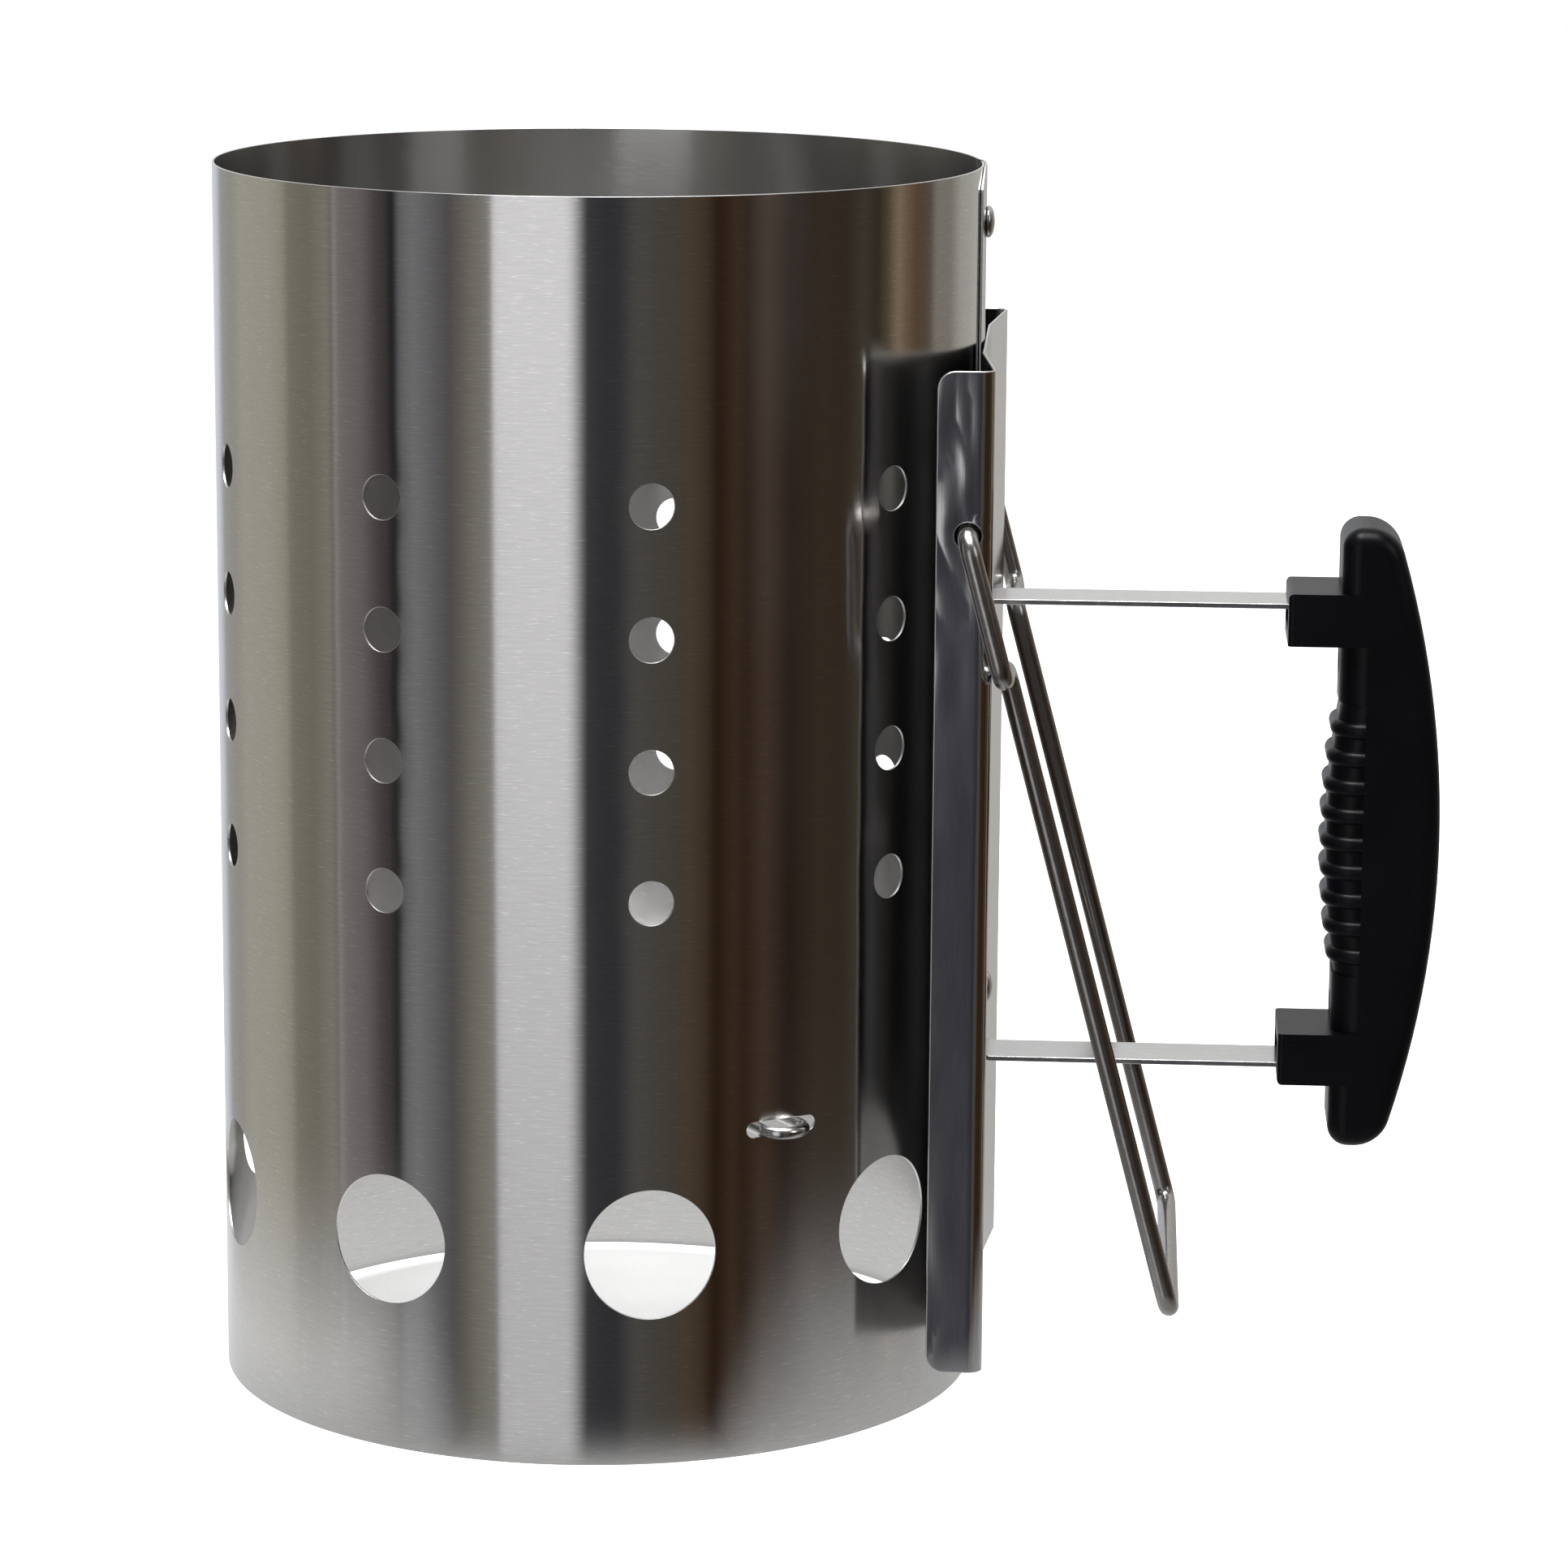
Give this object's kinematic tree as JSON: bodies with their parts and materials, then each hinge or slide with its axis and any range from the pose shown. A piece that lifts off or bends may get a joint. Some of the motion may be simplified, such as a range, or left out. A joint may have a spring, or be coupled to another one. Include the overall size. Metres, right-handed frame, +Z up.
{
  "type": "chimney charcoal starter",
  "caption": "Free-standing rolled sheet-metal chimney with vent holes, a wire grate, a heat shield with a moulded side grip, and a swinging wire bail.",
  "frame": {"origin": "on the tube's axis, in the plane of its lower rim", "axes": "+Z up along the tube's axis, +X towards the handle, +Y to the far side when the handle is on the right"},
  "size_m": [0.3008, 0.187, 0.3],
  "materials": {
    "tube_steel": "brushed stainless sheet, fine strokes along the circumference",
    "shield_steel": "brushed stainless sheet",
    "strap_steel": "satin stainless flat bar",
    "bail_steel": "drawn steel wire, dull grey-brown",
    "grate_steel": "drawn steel wire, welded",
    "rivet_steel": "plain steel rivet and screw",
    "grip_plastic": "black moulded heat-resistant plastic, fine matt texture"
  },
  "bodies": {
    "root": {"tube": "tube_steel", "heat_shield": "shield_steel", "handle_strap": "strap_steel", "grip_back": "grip_plastic", "grip_insert": "grip_plastic", "grip_screw_upper": "rivet_steel", "grip_screw_lower": "rivet_steel", "grate_hairpin_1": "grate_steel", "grate_hairpin_2": "grate_steel", "grate_hairpin_3": "grate_steel", "grate_hairpin_4": "grate_steel", "grate_ring_inner": "grate_steel", "grate_ring_middle": "grate_steel", "grate_ring_outer": "grate_steel", "seam_rivet_bottom": "rivet_steel", "seam_rivet_top": "rivet_steel", "shield_rivet_bottom": "rivet_steel", "shield_rivet_top": "rivet_steel", "strap_rivet_lower": "rivet_steel", "strap_rivet_upper": "rivet_steel"},
    "bail": {"bail": "bail_steel"}
  },
  "joints": [
    {"name": "bail_hinge", "type": "hinge", "parent": "root", "child": "bail", "pos_m": [0.0924, 0, 0.2194], "axis": [0, -1, 0], "range_deg": [0, 150]}
  ]
}
